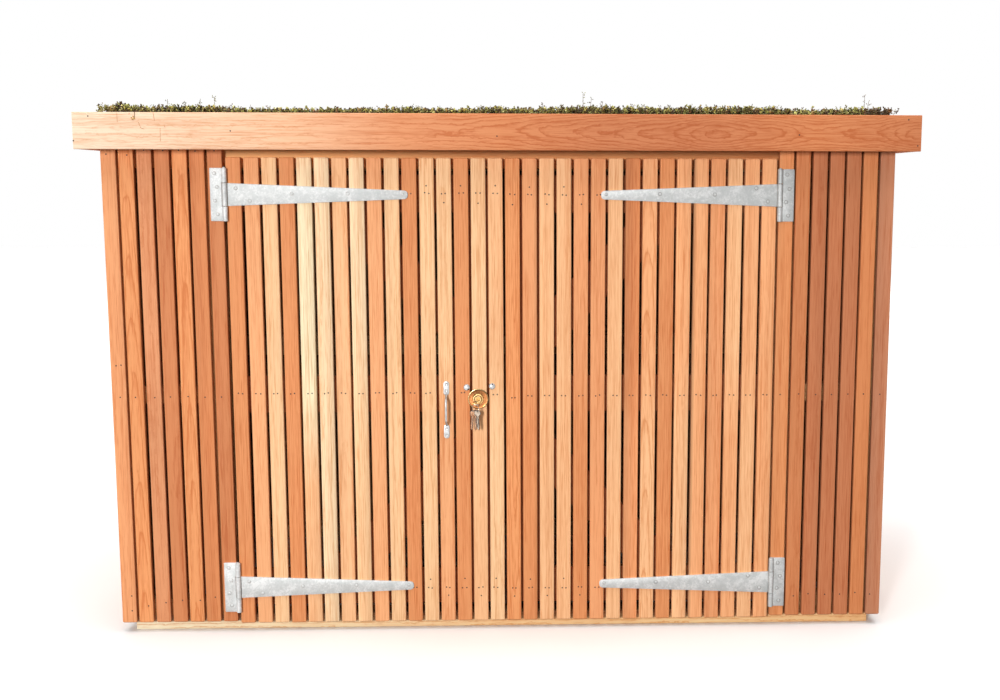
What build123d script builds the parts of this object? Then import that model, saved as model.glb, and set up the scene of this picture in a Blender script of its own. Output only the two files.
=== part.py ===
"""Bike shelter: a timber frame clad in upright slats, two tee-hinged doors with a lock, and a planted roof.

Millimetres. The front faces -Y, +X is to the right, and the shelter stands on Z = 0.
"""

import os
from math import sqrt

from build123d import *

# Cladding: one slat section all round, at one pitch.
slat_w = 38.0
slat_t = 19.0
slat_gap = 6.0
slat_ease = 2.0
slat_foot = 27.5
door_drop = 4.5
fixed_count = 7
door_count = 16
side_count = 22

# Frame timber, laid flat as sills and set upright as posts.
stud_t = 38.0
stud_w = 63.0
sill_h = 40.0
lining_t = 9.0
door_clear = 5.0
header_foot = 1218.5
header_show = 47.0
door_lap = 28.0
mid_rail_lift = 6.25
noggin_h = 45.0
rafter_pitch = 490.0
rafter_count = 3

# Roof: a shallow tray that falls to the back, edged by fascia boards.
overhang = 51.0
fascia_t = 22.0
fascia_h = 91.0
fascia_lap = 21.0
roof_fall_share = 1 / 40
deck_t = 18.0
kerb_w = 38.0
kerb_h = 45.0
liner_t = 2.0
medium_t = 38.0
sedum_t = 28.0
sedum_shoulder = 14.0

# Doors: rails, a meeting stile and two braces behind the slats.
rail_t = 22.0
rail_w = 95.0
rail_head_clear = 16.0
rail_foot_clear = 28.5
rail_end_gap = 6.0
stile_w = 95.0
stile_inset = 5.0
brace_w = 95.0
brace_rise = 159.0
mitre_share = 1 / sqrt(2)

# Tee hinges: a butt plate on the wall and a long tapering strap on the door.
# The pins stand outside the middle of the gaps beside the doors, and both pairs sit a little to the right.
hinge_out = 2.5
hinge_skew = 4.0
hinge_head_clear = 65.5
hinge_low_z = 122.5
hinge_axis_front = 7.5
plate_w = 37.0
plate_h = 134.0
plate_t = 4.0
barrel_r = 6.5
pin_r = 3.0
pin_clear = 0.1
strap_l = 460.0
strap_root_h = 58.0
strap_tip_h = 22.0
strap_t = 4.0
knuckle_clear = 1.0
plate_notch_clear = 1.5

# Pull handle on the left door, past a count of slats from the hinge.
handle_slat_count = 12
handle_offset = 3.5
handle_z = 596.0
handle_pad_l = 37.5
handle_pad_w = 15.0
handle_pad_t = 3.0
handle_pad_spacing = 114.5
handle_rod_r = 3.2
handle_reach = 26.0
handle_foot_inset = 32.5
handle_foot_run = 20.0
handle_bend_r = 9.0

# Lock on the left door, past a count of slats from the hinge, with its strike on the right door.
lock_slat_count = 14
lock_z = 623.0
rose_r = 27.0
rose_t = 4.0
rose_bevel = 1.5
boss_r = 13.5
boss_t = 5.0
keyway_w = 10.0
keyway_h = 2.4
keyway_depth = 4.0
key_drop = 4.0
barrel_hole_r = 12.0
cylinder_r = 11.0
case_w = 80.0
case_h = 90.0
case_t = 25.0
case_bevel = 3.0
bolt_h = 16.0
bolt_t = 12.0
bolt_z = 644.0
bolt_nose = 6.0
strike_h = 60.0
strike_t = 2.0
strike_margin = 1.0
strike_mouth_clear = 2.0

# Keys: one in the lock, lying flat, with a ring and three more that hang from it.
key_t = 2.0
key_neck_l = 9.0
key_neck_w = 8.0
key_bow_r = 10.5
ring_r = 12.0
ring_wire_r = 1.0
loose_bow_r = 8.5
loose_blade_l = 30.0
loose_blade_w = 6.0
loose_spread_deg = 11.0
loose_count = 3

# Sizes that follow from the driving dimensions.
slat_pitch = slat_w + slat_gap
front_count = 2 * (fixed_count + door_count)
clad_half_w = (front_count * slat_pitch - slat_gap) / 2
side_run = side_count * slat_pitch - slat_gap
clad_half_d = side_run / 2 + slat_t
frame_half_w = clad_half_w - slat_t - lining_t
frame_front = slat_t - clad_half_d
frame_back = clad_half_d - slat_t - lining_t
beam_front = frame_front + door_clear
beam_inner = beam_front + stud_w
back_inner = frame_back - stud_w
fixed_run = fixed_count * slat_pitch - slat_gap
jamb_inner = clad_half_w - fixed_run
door_hinge_edge = jamb_inner - slat_gap
door_meet_edge = slat_gap / 2
hinge_x = (jamb_inner + door_hinge_edge) / 2 + hinge_out
hinge_y = -clad_half_d - hinge_axis_front
post_inner = frame_half_w - stud_t
jamb_outer = jamb_inner + stud_w
deck_half_w = clad_half_w + overhang - fascia_t
deck_half_d = clad_half_d + overhang - fascia_t
fascia_foot = header_foot + header_show
deck_under_front = fascia_foot + fascia_lap
roof_half_w = deck_half_w + fascia_t
roof_half_d = deck_half_d + fascia_t
bed_half_w = deck_half_w - kerb_w
bed_half_d = deck_half_d - kerb_w
stile_meet = door_meet_edge + stile_inset
stile_inner = stile_meet + stile_w
rail_hinge_end = door_hinge_edge - rail_end_gap
wall_rail_z = (sill_h + header_foot) / 2 + mid_rail_lift
hinge_high_z = header_foot - hinge_head_clear
door_slat_foot = slat_foot - door_drop
door_slat_top = header_foot + door_lap
rail_high_z = header_foot - rail_head_clear - rail_w / 2
rail_low_z = sill_h + rail_foot_clear + rail_w / 2
stile_foot = rail_low_z - rail_w / 2
stile_top = rail_high_z + rail_w / 2
door_back = frame_front + rail_t
handle_x = handle_slat_count * slat_pitch + slat_w / 2 - door_hinge_edge + handle_offset
handle_foot_l = handle_pad_spacing - handle_foot_inset
handle_grip_l = handle_foot_l - handle_foot_run
lock_x = lock_slat_count * slat_pitch + slat_w / 2 - door_hinge_edge

# Planes that many pieces are drawn on: the faces of the front slats and of the door frames.
slat_face = Plane.XZ.offset(clad_half_d)
door_frame_face = Plane.XZ.offset(-frame_front)
door_back_face = Plane.XZ.offset(-door_back)
deck_plane = Plane(
    origin=(0, -deck_half_d, deck_under_front),
    x_dir=(1, 0, 0),
    z_dir=(0, roof_fall_share, 1),
)


def deck_under(y):
    """Height of the roof deck's underside at one depth."""
    return deck_under_front - (y + deck_half_d) * roof_fall_share


def save(part, label):
    """Label one finished piece and write it."""
    part.label = label
    export_step(part, f"parts/{label}.step")


def sloping_prism(y_spans, lift_low, lift_high, x_spans):
    """Pieces that lie along the roof: profiles parallel to the deck, drawn over each span of X."""
    with BuildPart() as prism:
        for x_low, x_high in x_spans:
            for y_low, y_high in y_spans:
                with BuildSketch(Plane.YZ.offset(x_low)):
                    with BuildLine():
                        Polyline(
                            (y_low, deck_under(y_low) + lift_low),
                            (y_high, deck_under(y_high) + lift_low),
                            (y_high, deck_under(y_high) + lift_high),
                            (y_low, deck_under(y_low) + lift_high),
                            close=True,
                        )
                    make_face()
                extrude(amount=x_high - x_low)
    return prism.part


def flat_timber(x_half, y_low, y_high, z_low, z_high):
    """A straight timber across the shelter, cut to the slope of the deck where it reaches it."""
    with BuildPart() as timber:
        with BuildSketch(Plane.XY.offset(z_low)):
            with Locations((0, (y_low + y_high) / 2)):
                Rectangle(2 * x_half, y_high - y_low)
        extrude(amount=z_high - z_low)
        split(bisect_by=deck_plane, keep=Keep.BOTTOM)
    return timber.part


def slat_row(x_centre, y_centre, count, foot, top):
    """A row of upright slats along X, all from one foot height to one top."""
    with BuildPart() as row:
        with BuildSketch(Plane.XY.offset(foot)):
            with Locations((x_centre, y_centre)):
                with GridLocations(slat_pitch, slat_pitch, count, 1):
                    Rectangle(slat_w, slat_t)
            chamfer(vertices(), slat_ease)
        extrude(amount=top - foot)
    return row.part


def side_slats(side):
    """The slats of one side wall, cut to the fall of the roof."""
    with BuildPart() as row:
        with BuildSketch(Plane.XY.offset(slat_foot)):
            with Locations((side * (clad_half_w - slat_t / 2), 0)):
                with GridLocations(slat_pitch, slat_pitch, 1, side_count):
                    Rectangle(slat_t, slat_w)
            chamfer(vertices(), slat_ease)
        extrude(amount=deck_under_front - slat_foot)
        split(bisect_by=deck_plane, keep=Keep.BOTTOM)
    return row.part


def side_linings():
    """The boards behind the side walls' slats, from the slats' foot to the deck."""
    with BuildPart() as boards:
        for x_low in (-frame_half_w - lining_t, frame_half_w):
            with BuildSketch(Plane.YZ.offset(x_low)):
                with BuildLine():
                    Polyline(
                        (frame_front, slat_foot),
                        (frame_back, slat_foot),
                        (frame_back, deck_under(frame_back)),
                        (frame_front, deck_under(frame_front)),
                        close=True,
                    )
                make_face()
            extrude(amount=lining_t)
    return boards.part


def door_rails(side):
    """The three rails of one door, from the hinge side to the meeting stile."""
    rail_l = rail_hinge_end - stile_inner
    rail_x = side * (rail_hinge_end + stile_inner) / 2
    with BuildPart() as rails:
        with BuildSketch(door_frame_face):
            with Locations((rail_x, rail_low_z), (rail_x, wall_rail_z), (rail_x, rail_high_z)):
                Rectangle(rail_l, rail_w)
        extrude(amount=-rail_t)
    return rails.part


def door_braces(side):
    """Two boards at 45 degrees, from the meeting stile up and down to the outer rails."""
    half_cut = brace_w * mitre_share
    with BuildPart() as braces:
        for lean, rail_z in ((1, rail_high_z), (-1, rail_low_z)):
            foot_z = wall_rail_z + lean * brace_rise
            head_z = rail_z - lean * rail_w / 2
            reach = lean * (head_z - foot_z)
            with BuildSketch(door_frame_face):
                with BuildLine():
                    Polyline(
                        (side * stile_inner, foot_z - lean * half_cut),
                        (side * stile_inner, foot_z + lean * half_cut),
                        (side * (stile_inner + reach - half_cut), head_z),
                        (side * (stile_inner + reach + half_cut), head_z),
                        close=True,
                    )
                make_face()
            extrude(amount=-rail_t)
    return braces.part


def hinge_plates(side):
    """The wall plates of one door's two hinges, each with its end knuckles and the pin."""
    knuckle_h = (plate_h - strap_root_h) / 2 - knuckle_clear
    notch_w = barrel_r + plate_notch_clear
    pin_x = hinge_skew + side * hinge_x
    with BuildPart() as plates:
        for hinge_z in (hinge_low_z, hinge_high_z):
            with BuildSketch(slat_face):
                with Locations((pin_x + side * plate_w / 2, hinge_z)):
                    Rectangle(plate_w, plate_h)
                with Locations((pin_x + side * notch_w / 2, hinge_z)):
                    Rectangle(notch_w, plate_h - 2 * knuckle_h, mode=Mode.SUBTRACT)
            extrude(amount=plate_t)
            foot = hinge_z - plate_h / 2
            for knuckle_foot in (foot, foot + plate_h - knuckle_h):
                with BuildSketch(Plane.XY.offset(knuckle_foot)):
                    with Locations((pin_x, hinge_y)):
                        Circle(barrel_r)
                extrude(amount=knuckle_h)
            with BuildSketch(Plane.XY.offset(foot)):
                with Locations((pin_x, hinge_y)):
                    Circle(pin_r)
            extrude(amount=plate_h)
    return plates.part


def hinge_straps(side):
    """The door straps of one door's two hinges, tapering from the knuckle to a round tip."""
    tip_r = strap_tip_h / 2
    pin_x = hinge_skew + side * hinge_x
    tip_x = pin_x - side * (strap_l - tip_r)
    with BuildPart() as straps:
        for hinge_z in (hinge_low_z, hinge_high_z):
            foot = hinge_z - strap_root_h / 2
            with BuildSketch(slat_face):
                with BuildLine():
                    Polyline(
                        (pin_x, foot),
                        (pin_x, foot + strap_root_h),
                        (tip_x, hinge_z + tip_r),
                        (tip_x, hinge_z - tip_r),
                        close=True,
                    )
                make_face()
                with Locations((tip_x, hinge_z)):
                    Circle(tip_r)
            extrude(amount=strap_t)
            with BuildSketch(Plane.XY.offset(foot)):
                with Locations((pin_x, hinge_y)):
                    Circle(barrel_r)
            extrude(amount=strap_root_h)
            with BuildSketch(Plane.XY.offset(foot)):
                with Locations((pin_x, hinge_y)):
                    Circle(pin_r + pin_clear)
            extrude(amount=strap_root_h, mode=Mode.SUBTRACT)
    return straps.part


os.makedirs("parts", exist_ok=True)

# Sills on the ground.
save(flat_timber(frame_half_w, beam_front, beam_inner, 0, sill_h), "front_sill")
save(flat_timber(frame_half_w, back_inner, frame_back, 0, sill_h), "back_sill")
with BuildPart() as side_sills:
    with BuildSketch():
        with Locations((0, (beam_inner + back_inner) / 2)):
            with GridLocations(2 * frame_half_w - stud_w, stud_w, 2, 1):
                Rectangle(stud_w, back_inner - beam_inner)
    extrude(amount=sill_h)
save(side_sills.part, "side_sills")

# Posts: one at each corner, and one on each side of the doorway.
back_beam_foot = deck_under(frame_back) - stud_w
with BuildPart() as corner_posts:
    for post_front, post_top in ((frame_front, header_foot), (back_inner, back_beam_foot)):
        with BuildSketch(Plane.XY.offset(sill_h)):
            with Locations((0, post_front + stud_w / 2)):
                with GridLocations(2 * frame_half_w - stud_t, stud_w, 2, 1):
                    Rectangle(stud_t, stud_w)
        extrude(amount=post_top - sill_h)
save(corner_posts.part, "corner_posts")
with BuildPart() as jamb_posts:
    with BuildSketch(Plane.XY.offset(sill_h)):
        with Locations((0, frame_front + stud_t / 2)):
            with GridLocations(jamb_inner + jamb_outer, stud_w, 2, 1):
                Rectangle(stud_w, stud_t)
    extrude(amount=header_foot - sill_h)
save(jamb_posts.part, "jamb_posts")

# Beams that carry the roof, and the rails between the posts.
save(flat_timber(frame_half_w, beam_front, beam_inner, header_foot, deck_under_front), "door_header")
save(flat_timber(frame_half_w, back_inner, frame_back, back_beam_foot, deck_under_front), "back_beam")
side_spans = ((-frame_half_w, -post_inner), (post_inner, frame_half_w))
inner_depth = [(beam_inner, back_inner)]
save(sloping_prism(inner_depth, -stud_w, 0, side_spans), "side_plates")
rafter_spans = [
    (step * rafter_pitch - stud_t / 2, step * rafter_pitch + stud_t / 2)
    for step in range(-(rafter_count // 2), rafter_count // 2 + 1)
]
save(sloping_prism(inner_depth, -stud_w, 0, rafter_spans), "rafters")
with BuildPart() as wall_rails:
    rail_front = frame_front + stud_w
    with BuildSketch(Plane.XY.offset(wall_rail_z - stud_w / 2)):
        with Locations((0, (rail_front + back_inner) / 2)):
            with GridLocations(2 * frame_half_w - stud_t, stud_w, 2, 1):
                Rectangle(stud_t, back_inner - rail_front)
        with Locations((0, frame_back - stud_t / 2)):
            Rectangle(2 * post_inner, stud_t)
    extrude(amount=stud_w)
save(wall_rails.part, "wall_rails")
with BuildPart() as front_noggins:
    for noggin_foot in (sill_h, wall_rail_z - noggin_h / 2):
        with BuildSketch(Plane.XY.offset(noggin_foot)):
            with Locations((0, frame_front + stud_t / 2)):
                with GridLocations(post_inner + jamb_outer, stud_w, 2, 1):
                    Rectangle(post_inner - jamb_outer, stud_t)
        extrude(amount=noggin_h)
save(front_noggins.part, "front_noggins")

# Lining boards and slats of the sides, the back and the fixed front panels.
save(side_linings(), "side_linings")
back_lining_half = frame_half_w + lining_t
back_lining_top = deck_under(frame_back + lining_t)
back_lining = flat_timber(back_lining_half, frame_back, frame_back + lining_t, slat_foot, back_lining_top)
save(back_lining, "back_lining")
fixed_centre = clad_half_w - fixed_run / 2
front_slat_y = frame_front - slat_t / 2
fixed_top = deck_under(frame_front)
save(slat_row(-fixed_centre, front_slat_y, fixed_count, slat_foot, fixed_top), "front_left_slats")
save(slat_row(fixed_centre, front_slat_y, fixed_count, slat_foot, fixed_top), "front_right_slats")
save(side_slats(-1), "left_side_slats")
save(side_slats(1), "right_side_slats")
back_slat_y = clad_half_d - slat_t / 2
save(slat_row(0, back_slat_y, front_count, slat_foot, deck_under(clad_half_d)), "back_slats")

# Roof deck and fascias.
deck_width = [(-deck_half_w, deck_half_w)]
deck_depth = [(-deck_half_d, deck_half_d)]
save(sloping_prism(deck_depth, 0, deck_t, deck_width), "roof_deck")
fascia_rise = fascia_h - fascia_lap
edge_spans = ((-roof_half_w, -deck_half_w), (deck_half_w, roof_half_w))
save(sloping_prism(deck_depth, -fascia_lap, fascia_rise, edge_spans), "side_fascias")
for label, face_y, foot_z in (
    ("front_fascia", -roof_half_d, fascia_foot),
    ("back_fascia", deck_half_d, deck_under(deck_half_d) - fascia_lap),
):
    with BuildPart() as fascia:
        with BuildSketch(Plane.XZ.offset(-face_y)):
            with Locations((0, foot_z + fascia_h / 2)):
                Rectangle(2 * roof_half_w, fascia_h)
        extrude(amount=-fascia_t)
    save(fascia.part, label)

# Planted bed: a kerb inside the fascias, a liner, the growing medium and the plants' mat.
kerb_top = deck_t + kerb_h
kerb_ends = ((-deck_half_d, -bed_half_d), (bed_half_d, deck_half_d))
kerb_sides = ((-deck_half_w, -bed_half_w), (bed_half_w, deck_half_w))
bed_width = [(-bed_half_w, bed_half_w)]
bed_depth = [(-bed_half_d, bed_half_d)]
save(sloping_prism(kerb_ends, deck_t, kerb_top, deck_width), "end_kerbs")
save(sloping_prism(bed_depth, deck_t, kerb_top, kerb_sides), "side_kerbs")
soil_half_w = bed_half_w - liner_t
soil_half_d = bed_half_d - liner_t
soil_width = [(-soil_half_w, soil_half_w)]
soil_depth = [(-soil_half_d, soil_half_d)]
soil_foot = deck_t + liner_t
soil_top = soil_foot + medium_t
liner_block = sloping_prism(bed_depth, deck_t, kerb_top, bed_width)
liner_hollow = sloping_prism(soil_depth, soil_foot, kerb_top + kerb_h, soil_width)
with BuildPart() as roof_liner:
    add(liner_block)
    add(liner_hollow, mode=Mode.SUBTRACT)
save(roof_liner.part, "roof_liner")
save(sloping_prism(soil_depth, soil_foot, soil_top, soil_width), "growing_medium")
mat_block = sloping_prism(soil_depth, soil_top, soil_top + sedum_t, soil_width)
with BuildPart() as sedum_mat:
    add(mat_block)
    chamfer(sedum_mat.faces().sort_by(Axis.Z)[-1].edges(), sedum_shoulder)
save(sedum_mat.part, "sedum_mat")

# Hinges.
save(hinge_plates(-1), "left_hinge_plates")
save(hinge_plates(1), "right_hinge_plates")
save(hinge_straps(-1), "left_hinge_straps")
save(hinge_straps(1), "right_hinge_straps")

# Doors. The left one is bored for the lock's cylinder.
door_centre = (door_hinge_edge + door_meet_edge) / 2
right_row = slat_row(door_centre, front_slat_y, door_count, door_slat_foot, door_slat_top)
save(right_row, "right_door_slats")
left_row = slat_row(-door_centre, front_slat_y, door_count, door_slat_foot, door_slat_top)
with BuildPart() as left_door_slats:
    add(left_row)
    with BuildSketch(slat_face):
        with Locations((lock_x, lock_z)):
            Circle(barrel_hole_r)
    extrude(amount=-slat_t, mode=Mode.SUBTRACT)
save(left_door_slats.part, "left_door_slats")
for side, label in ((-1, "left_door"), (1, "right_door")):
    with BuildPart() as stile:
        with BuildSketch(door_frame_face):
            with Locations((side * (stile_meet + stile_inner) / 2, (stile_foot + stile_top) / 2)):
                Rectangle(stile_w, stile_top - stile_foot)
            if side < 0:
                with Locations((lock_x, lock_z)):
                    Circle(barrel_hole_r, mode=Mode.SUBTRACT)
        extrude(amount=-rail_t)
    save(stile.part, f"{label}_stile")
    save(door_rails(side), f"{label}_rails")
    save(door_braces(side), f"{label}_braces")

# Pull handle: two pads and a bent rod.
with BuildPart() as pull_handle:
    with BuildSketch(slat_face):
        with Locations((handle_x, handle_z)):
            with GridLocations(handle_pad_w, handle_pad_spacing, 1, 2):
                SlotOverall(handle_pad_l, handle_pad_w, rotation=90)
    extrude(amount=handle_pad_t)
    with BuildLine(Plane.YZ.offset(handle_x)) as rod_path:
        FilletPolyline(
            (-clad_half_d - handle_pad_t / 2, handle_z - handle_foot_l / 2),
            (-clad_half_d - handle_reach, handle_z - handle_grip_l / 2),
            (-clad_half_d - handle_reach, handle_z + handle_grip_l / 2),
            (-clad_half_d - handle_pad_t / 2, handle_z + handle_foot_l / 2),
            radius=handle_bend_r,
        )
    with BuildSketch(Plane(origin=rod_path.line @ 0, z_dir=rod_path.line % 0)):
        Circle(handle_rod_r)
    sweep()
save(pull_handle.part, "pull_handle")

# Lock: a round rose with its boss outside, the cylinder through the door and the case inside.
with BuildPart() as lock_cylinder:
    with BuildSketch(slat_face):
        with Locations((lock_x, lock_z)):
            Circle(rose_r)
    extrude(amount=rose_t)
    chamfer(lock_cylinder.faces().sort_by(Axis.Y)[0].edges(), rose_bevel)
    with BuildSketch(slat_face.offset(rose_t)):
        with Locations((lock_x, lock_z)):
            Circle(boss_r)
    extrude(amount=boss_t)
    with BuildSketch(slat_face.offset(rose_t + boss_t)):
        with Locations((lock_x, lock_z - key_drop)):
            Rectangle(keyway_w, keyway_h)
    extrude(amount=-keyway_depth, mode=Mode.SUBTRACT)
    with BuildSketch(slat_face):
        with Locations((lock_x, lock_z)):
            Circle(cylinder_r)
    extrude(amount=-(slat_t + rail_t))
save(lock_cylinder.part, "lock_cylinder")
with BuildPart() as lock_case:
    with BuildSketch(door_back_face):
        with Locations((-stile_meet - case_w / 2, lock_z)):
            Rectangle(case_w, case_h)
    extrude(amount=-case_t)
    chamfer(lock_case.faces().sort_by(Axis.Y)[-1].edges(), case_bevel)
save(lock_case.part, "lock_case")

# Bolt and strike, in the middle of the meeting stiles' thickness.
stile_mid_y = frame_front + rail_t / 2
with BuildPart() as lock_bolt:
    with BuildSketch(Plane.YZ.offset(-stile_meet)):
        with Locations((stile_mid_y, bolt_z)):
            Rectangle(bolt_t, bolt_h)
    extrude(amount=bolt_nose)
save(lock_bolt.part, "lock_bolt")
with BuildPart() as lock_strike:
    with BuildSketch(Plane.YZ.offset(stile_meet)):
        with Locations((stile_mid_y, bolt_z)):
            Rectangle(rail_t - 2 * strike_margin, strike_h)
            Rectangle(bolt_t + strike_mouth_clear, bolt_h + strike_mouth_clear, mode=Mode.SUBTRACT)
    extrude(amount=-strike_t)
save(lock_strike.part, "lock_strike")

# Keys: the one in the lock lies flat, and the others fan out below its ring.
with BuildPart() as key_bunch:
    key_z = lock_z - key_drop
    key_root = -clad_half_d - rose_t - boss_t
    bow_y = key_root - key_neck_l - key_bow_r
    with BuildSketch(Plane.XY.offset(key_z - key_t / 2)):
        with Locations((lock_x, key_root - key_neck_l)):
            Rectangle(key_neck_w, 2 * key_neck_l)
        with Locations((lock_x, bow_y)):
            Circle(key_bow_r)
    extrude(amount=key_t)
    ring_z = key_z - ring_r
    ring_plane = Plane.XZ.offset(-bow_y)
    with BuildSketch(ring_plane):
        with Locations((lock_x, ring_z)):
            Circle(ring_r + ring_wire_r)
            Circle(ring_r - ring_wire_r, mode=Mode.SUBTRACT)
    extrude(amount=ring_wire_r, both=True)
    for place in range(loose_count):
        turn = (place - (loose_count - 1) / 2) * loose_spread_deg
        hang = Location((lock_x, ring_z, 0), turn)
        with BuildSketch(ring_plane.offset((place - loose_count / 2) * key_t)):
            with Locations(hang):
                with Locations((0, -ring_r - loose_bow_r / 2)):
                    Circle(loose_bow_r)
                with Locations((0, -ring_r - loose_bow_r - loose_blade_l / 2)):
                    Rectangle(loose_blade_w, loose_blade_l + loose_bow_r)
        extrude(amount=key_t)
save(key_bunch.part, "key_bunch")
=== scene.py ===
import random
from math import cos, hypot, pi, radians, sin

import bmesh
import bpy
import numpy as np
from mathutils import Matrix, Vector


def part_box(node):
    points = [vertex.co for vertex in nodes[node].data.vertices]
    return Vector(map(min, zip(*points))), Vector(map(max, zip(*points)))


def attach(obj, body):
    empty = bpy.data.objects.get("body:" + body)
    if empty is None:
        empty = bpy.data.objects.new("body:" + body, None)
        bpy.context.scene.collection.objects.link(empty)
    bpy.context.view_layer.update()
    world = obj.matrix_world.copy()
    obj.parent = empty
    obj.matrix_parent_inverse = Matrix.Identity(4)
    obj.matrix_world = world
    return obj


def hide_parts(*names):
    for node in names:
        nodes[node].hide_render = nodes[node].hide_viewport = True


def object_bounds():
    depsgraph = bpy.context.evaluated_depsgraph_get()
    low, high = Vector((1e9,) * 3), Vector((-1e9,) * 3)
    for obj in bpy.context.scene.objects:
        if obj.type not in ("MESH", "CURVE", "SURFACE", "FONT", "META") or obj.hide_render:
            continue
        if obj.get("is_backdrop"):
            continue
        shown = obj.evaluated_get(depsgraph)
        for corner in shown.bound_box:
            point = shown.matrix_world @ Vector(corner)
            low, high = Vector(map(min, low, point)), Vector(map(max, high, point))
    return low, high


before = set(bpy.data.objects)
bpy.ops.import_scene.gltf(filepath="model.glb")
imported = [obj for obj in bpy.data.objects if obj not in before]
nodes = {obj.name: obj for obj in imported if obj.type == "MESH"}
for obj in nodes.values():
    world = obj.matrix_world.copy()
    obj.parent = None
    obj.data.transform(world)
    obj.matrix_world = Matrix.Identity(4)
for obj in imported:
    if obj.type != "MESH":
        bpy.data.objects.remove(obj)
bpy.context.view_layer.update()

scene = bpy.context.scene
MM = 0.001


def lin(r, g, b):
    """Linear colour of an 8-bit sRGB one."""
    out = [v / 12.92 if v <= 0.04045 else ((v + 0.055) / 1.055) ** 2.4 for v in (r / 255, g / 255, b / 255)]
    return (out[0], out[1], out[2], 1)


# Materials


class Nodes:
    """A node tree and short ways to add nodes to it."""

    def __init__(self, tree):
        self.tree = tree

    def put(self, socket, value):
        if isinstance(value, bpy.types.NodeSocket):
            self.tree.links.new(value, socket)
        else:
            socket.default_value = value

    def node(self, kind, values=(), **settings):
        """A node with its settings, and values or links for its inputs, by place or by name."""
        made = self.tree.nodes.new(kind)
        for key, value in settings.items():
            setattr(made, key, value)
        for key, value in values.items() if isinstance(values, dict) else enumerate(values):
            self.put(made.inputs[key], value)
        return made

    def math(self, operation, a, b=0, clamp=False):
        return self.node("ShaderNodeMath", (a, b), operation=operation, use_clamp=clamp).outputs[0]

    def plus(self, base, value, weight, middle=0, clamp=False):
        """A base plus the weighted distance of a value from its middle."""
        if middle:
            value = self.math("SUBTRACT", value, middle)
        return self.math("ADD", base, self.math("MULTIPLY", value, weight), clamp)

    def vector(self, operation, a, b):
        made = self.node("ShaderNodeVectorMath", (a, b), operation=operation)
        return made.outputs["Value"] if operation == "LENGTH" else made.outputs[0]

    def split(self, vector):
        return tuple(self.node("ShaderNodeSeparateXYZ", (vector,)).outputs)

    def join(self, x, y, z):
        return self.node("ShaderNodeCombineXYZ", (x, y, z)).outputs[0]

    def texture(self, kind, vector, scale, **values):
        """A texture node, at one scale or at one for each axis."""
        axes = scale if isinstance(scale, tuple) else (scale, scale, scale)
        return self.node(kind, {"Vector": self.vector("MULTIPLY", vector, axes), "Scale": 1, **values})

    def noise(self, vector, scale, detail=2, roughness=0.5):
        return self.texture("ShaderNodeTexNoise", vector, scale, Detail=detail, Roughness=roughness).outputs[0]

    def cells(self, vector, scale):
        """Distance to the nearest of scattered points, and that point's own colour."""
        made = self.texture("ShaderNodeTexVoronoi", vector, scale)
        return made.outputs["Distance"], made.outputs["Color"]

    def ramp(self, value, *stops):
        made = self.node("ShaderNodeValToRGB", (value,))
        elements = made.color_ramp.elements
        while len(elements) < len(stops):
            elements.new(0.5)
        for element, (place, colour) in zip(elements, stops):
            element.position = place
            element.color = colour if isinstance(colour, tuple) else (colour, colour, colour, 1)
        return made.outputs[0]

    def mix(self, share, a, b, blend="MIX"):
        return self.node("ShaderNodeMix", {0: share, 6: a, 7: b}, data_type="RGBA", blend_type=blend).outputs[2]

    def attribute(self, name):
        return self.node("ShaderNodeAttribute", attribute_name=name)

    def place(self):
        return self.node("ShaderNodeTexCoord").outputs["Object"]

    def seen(self):
        """1 where the stage is looked at, straight or in a mirror, and 0 where it only throws light."""
        rays = self.node("ShaderNodeLightPath").outputs
        others = self.math("ADD", rays["Is Glossy Ray"], rays["Is Transmission Ray"])
        return self.math("ADD", rays["Is Camera Ray"], others, clamp=True)


class Graph(Nodes):
    """A material's nodes, up to its shader."""

    def __init__(self, name, roughness=0.5, metallic=0, specular=0.5):
        self.material = bpy.data.materials.new(name)
        self.material.use_nodes = True
        super().__init__(self.material.node_tree)
        self.bsdf = self.tree.nodes["Principled BSDF"]
        for key, value in (("Roughness", roughness), ("Metallic", metallic), ("Specular IOR Level", specular)):
            self.bsdf.inputs[key].default_value = value

    def tone(self):
        return self.attribute("tone").outputs["Color"]

    def bump(self, height, strength, distance):
        made = self.node("ShaderNodeBump", {"Strength": strength, "Distance": distance, "Height": height})
        self.put(self.bsdf.inputs["Normal"], made.outputs[0])

    def finish(self, colour, roughness=None):
        self.put(self.bsdf.inputs["Base Color"], colour)
        if roughness is not None:
            self.put(self.bsdf.inputs["Roughness"], roughness)
        return self.material


# Shares of a tone that are left in its dark parts.
WOOD_DARK, BRASS_DARK, LEAF_DARK = (0.78, 0.58, 0.45, 1), (0.5, 0.42, 0.34, 1), (0.62, 0.64, 0.55, 1)
KNOT = (150, 92, 44)
RUN_OUT = 0.021


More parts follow.
